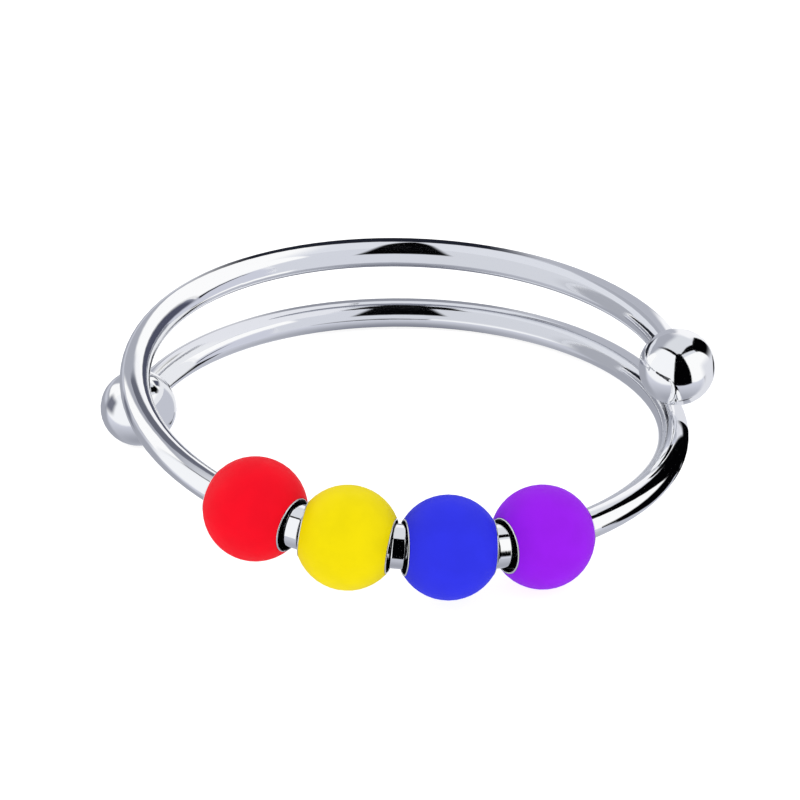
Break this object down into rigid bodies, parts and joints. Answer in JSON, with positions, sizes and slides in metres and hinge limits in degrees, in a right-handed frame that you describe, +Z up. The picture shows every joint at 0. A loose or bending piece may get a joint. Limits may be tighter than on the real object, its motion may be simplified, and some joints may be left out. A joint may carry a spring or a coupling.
{
  "type": "spinner ring",
  "caption": "Open coil finger ring of polished round wire with a ball on each end, and coloured round beads with spacer rings that turn on its front arc.",
  "frame": {"origin": "middle of the whole ring's box, on the surface it lies on", "axes": "+X runs across the ring from its left ball to its right ball, -Y faces the beads at the front, +Z points up from the surface, close to the axis of the finger hollow"},
  "size_m": [0.0214, 0.021, 0.0046],
  "materials": {
    "polished_silver": "polished",
    "sleeve_silver": "polished",
    "spacer_silver": "polished",
    "enamel_red": "satin enamel",
    "enamel_yellow": "satin enamel",
    "enamel_blue": "satin enamel",
    "enamel_purple": "satin enamel"
  },
  "bodies": {
    "band": {"band": "polished_silver"},
    "train": {"spacer_left": "spacer_silver", "spacer_middle": "spacer_silver", "spacer_right": "spacer_silver"},
    "red_bead": {"bead_red": "enamel_red", "sleeve_red": "sleeve_silver"},
    "yellow_bead": {"bead_yellow": "enamel_yellow", "sleeve_yellow": "sleeve_silver"},
    "blue_bead": {"bead_blue": "enamel_blue", "sleeve_blue": "sleeve_silver"},
    "purple_bead": {"bead_purple": "enamel_purple", "sleeve_purple": "sleeve_silver"}
  },
  "joints": [
    {"name": "train_slide", "type": "hinge", "parent": "band", "child": "train", "pos_m": [-0.00004, 0.00053, 0.00251], "axis": [0.1121, -0.0308, 0.9932], "range_deg": [-52, 28]},
    {"name": "red_spin", "type": "hinge", "parent": "train", "child": "red_bead", "pos_m": [-0.00507, -0.00733, 0.00283], "axis": [0.8347, -0.5394, -0.1109], "continuous": true},
    {"name": "yellow_spin", "type": "hinge", "parent": "train", "child": "yellow_bead", "pos_m": [-0.00202, -0.00859, 0.00245], "axis": [0.9707, -0.2102, -0.1161], "continuous": true},
    {"name": "blue_spin", "type": "hinge", "parent": "train", "child": "blue_bead", "pos_m": [0.00129, -0.0087, 0.00207], "axis": [0.9836, 0.1458, -0.1065], "continuous": true},
    {"name": "purple_spin", "type": "hinge", "parent": "train", "child": "purple_bead", "pos_m": [0.00442, -0.00764, 0.00175], "axis": [0.8715, 0.4832, -0.0834], "continuous": true}
  ]
}
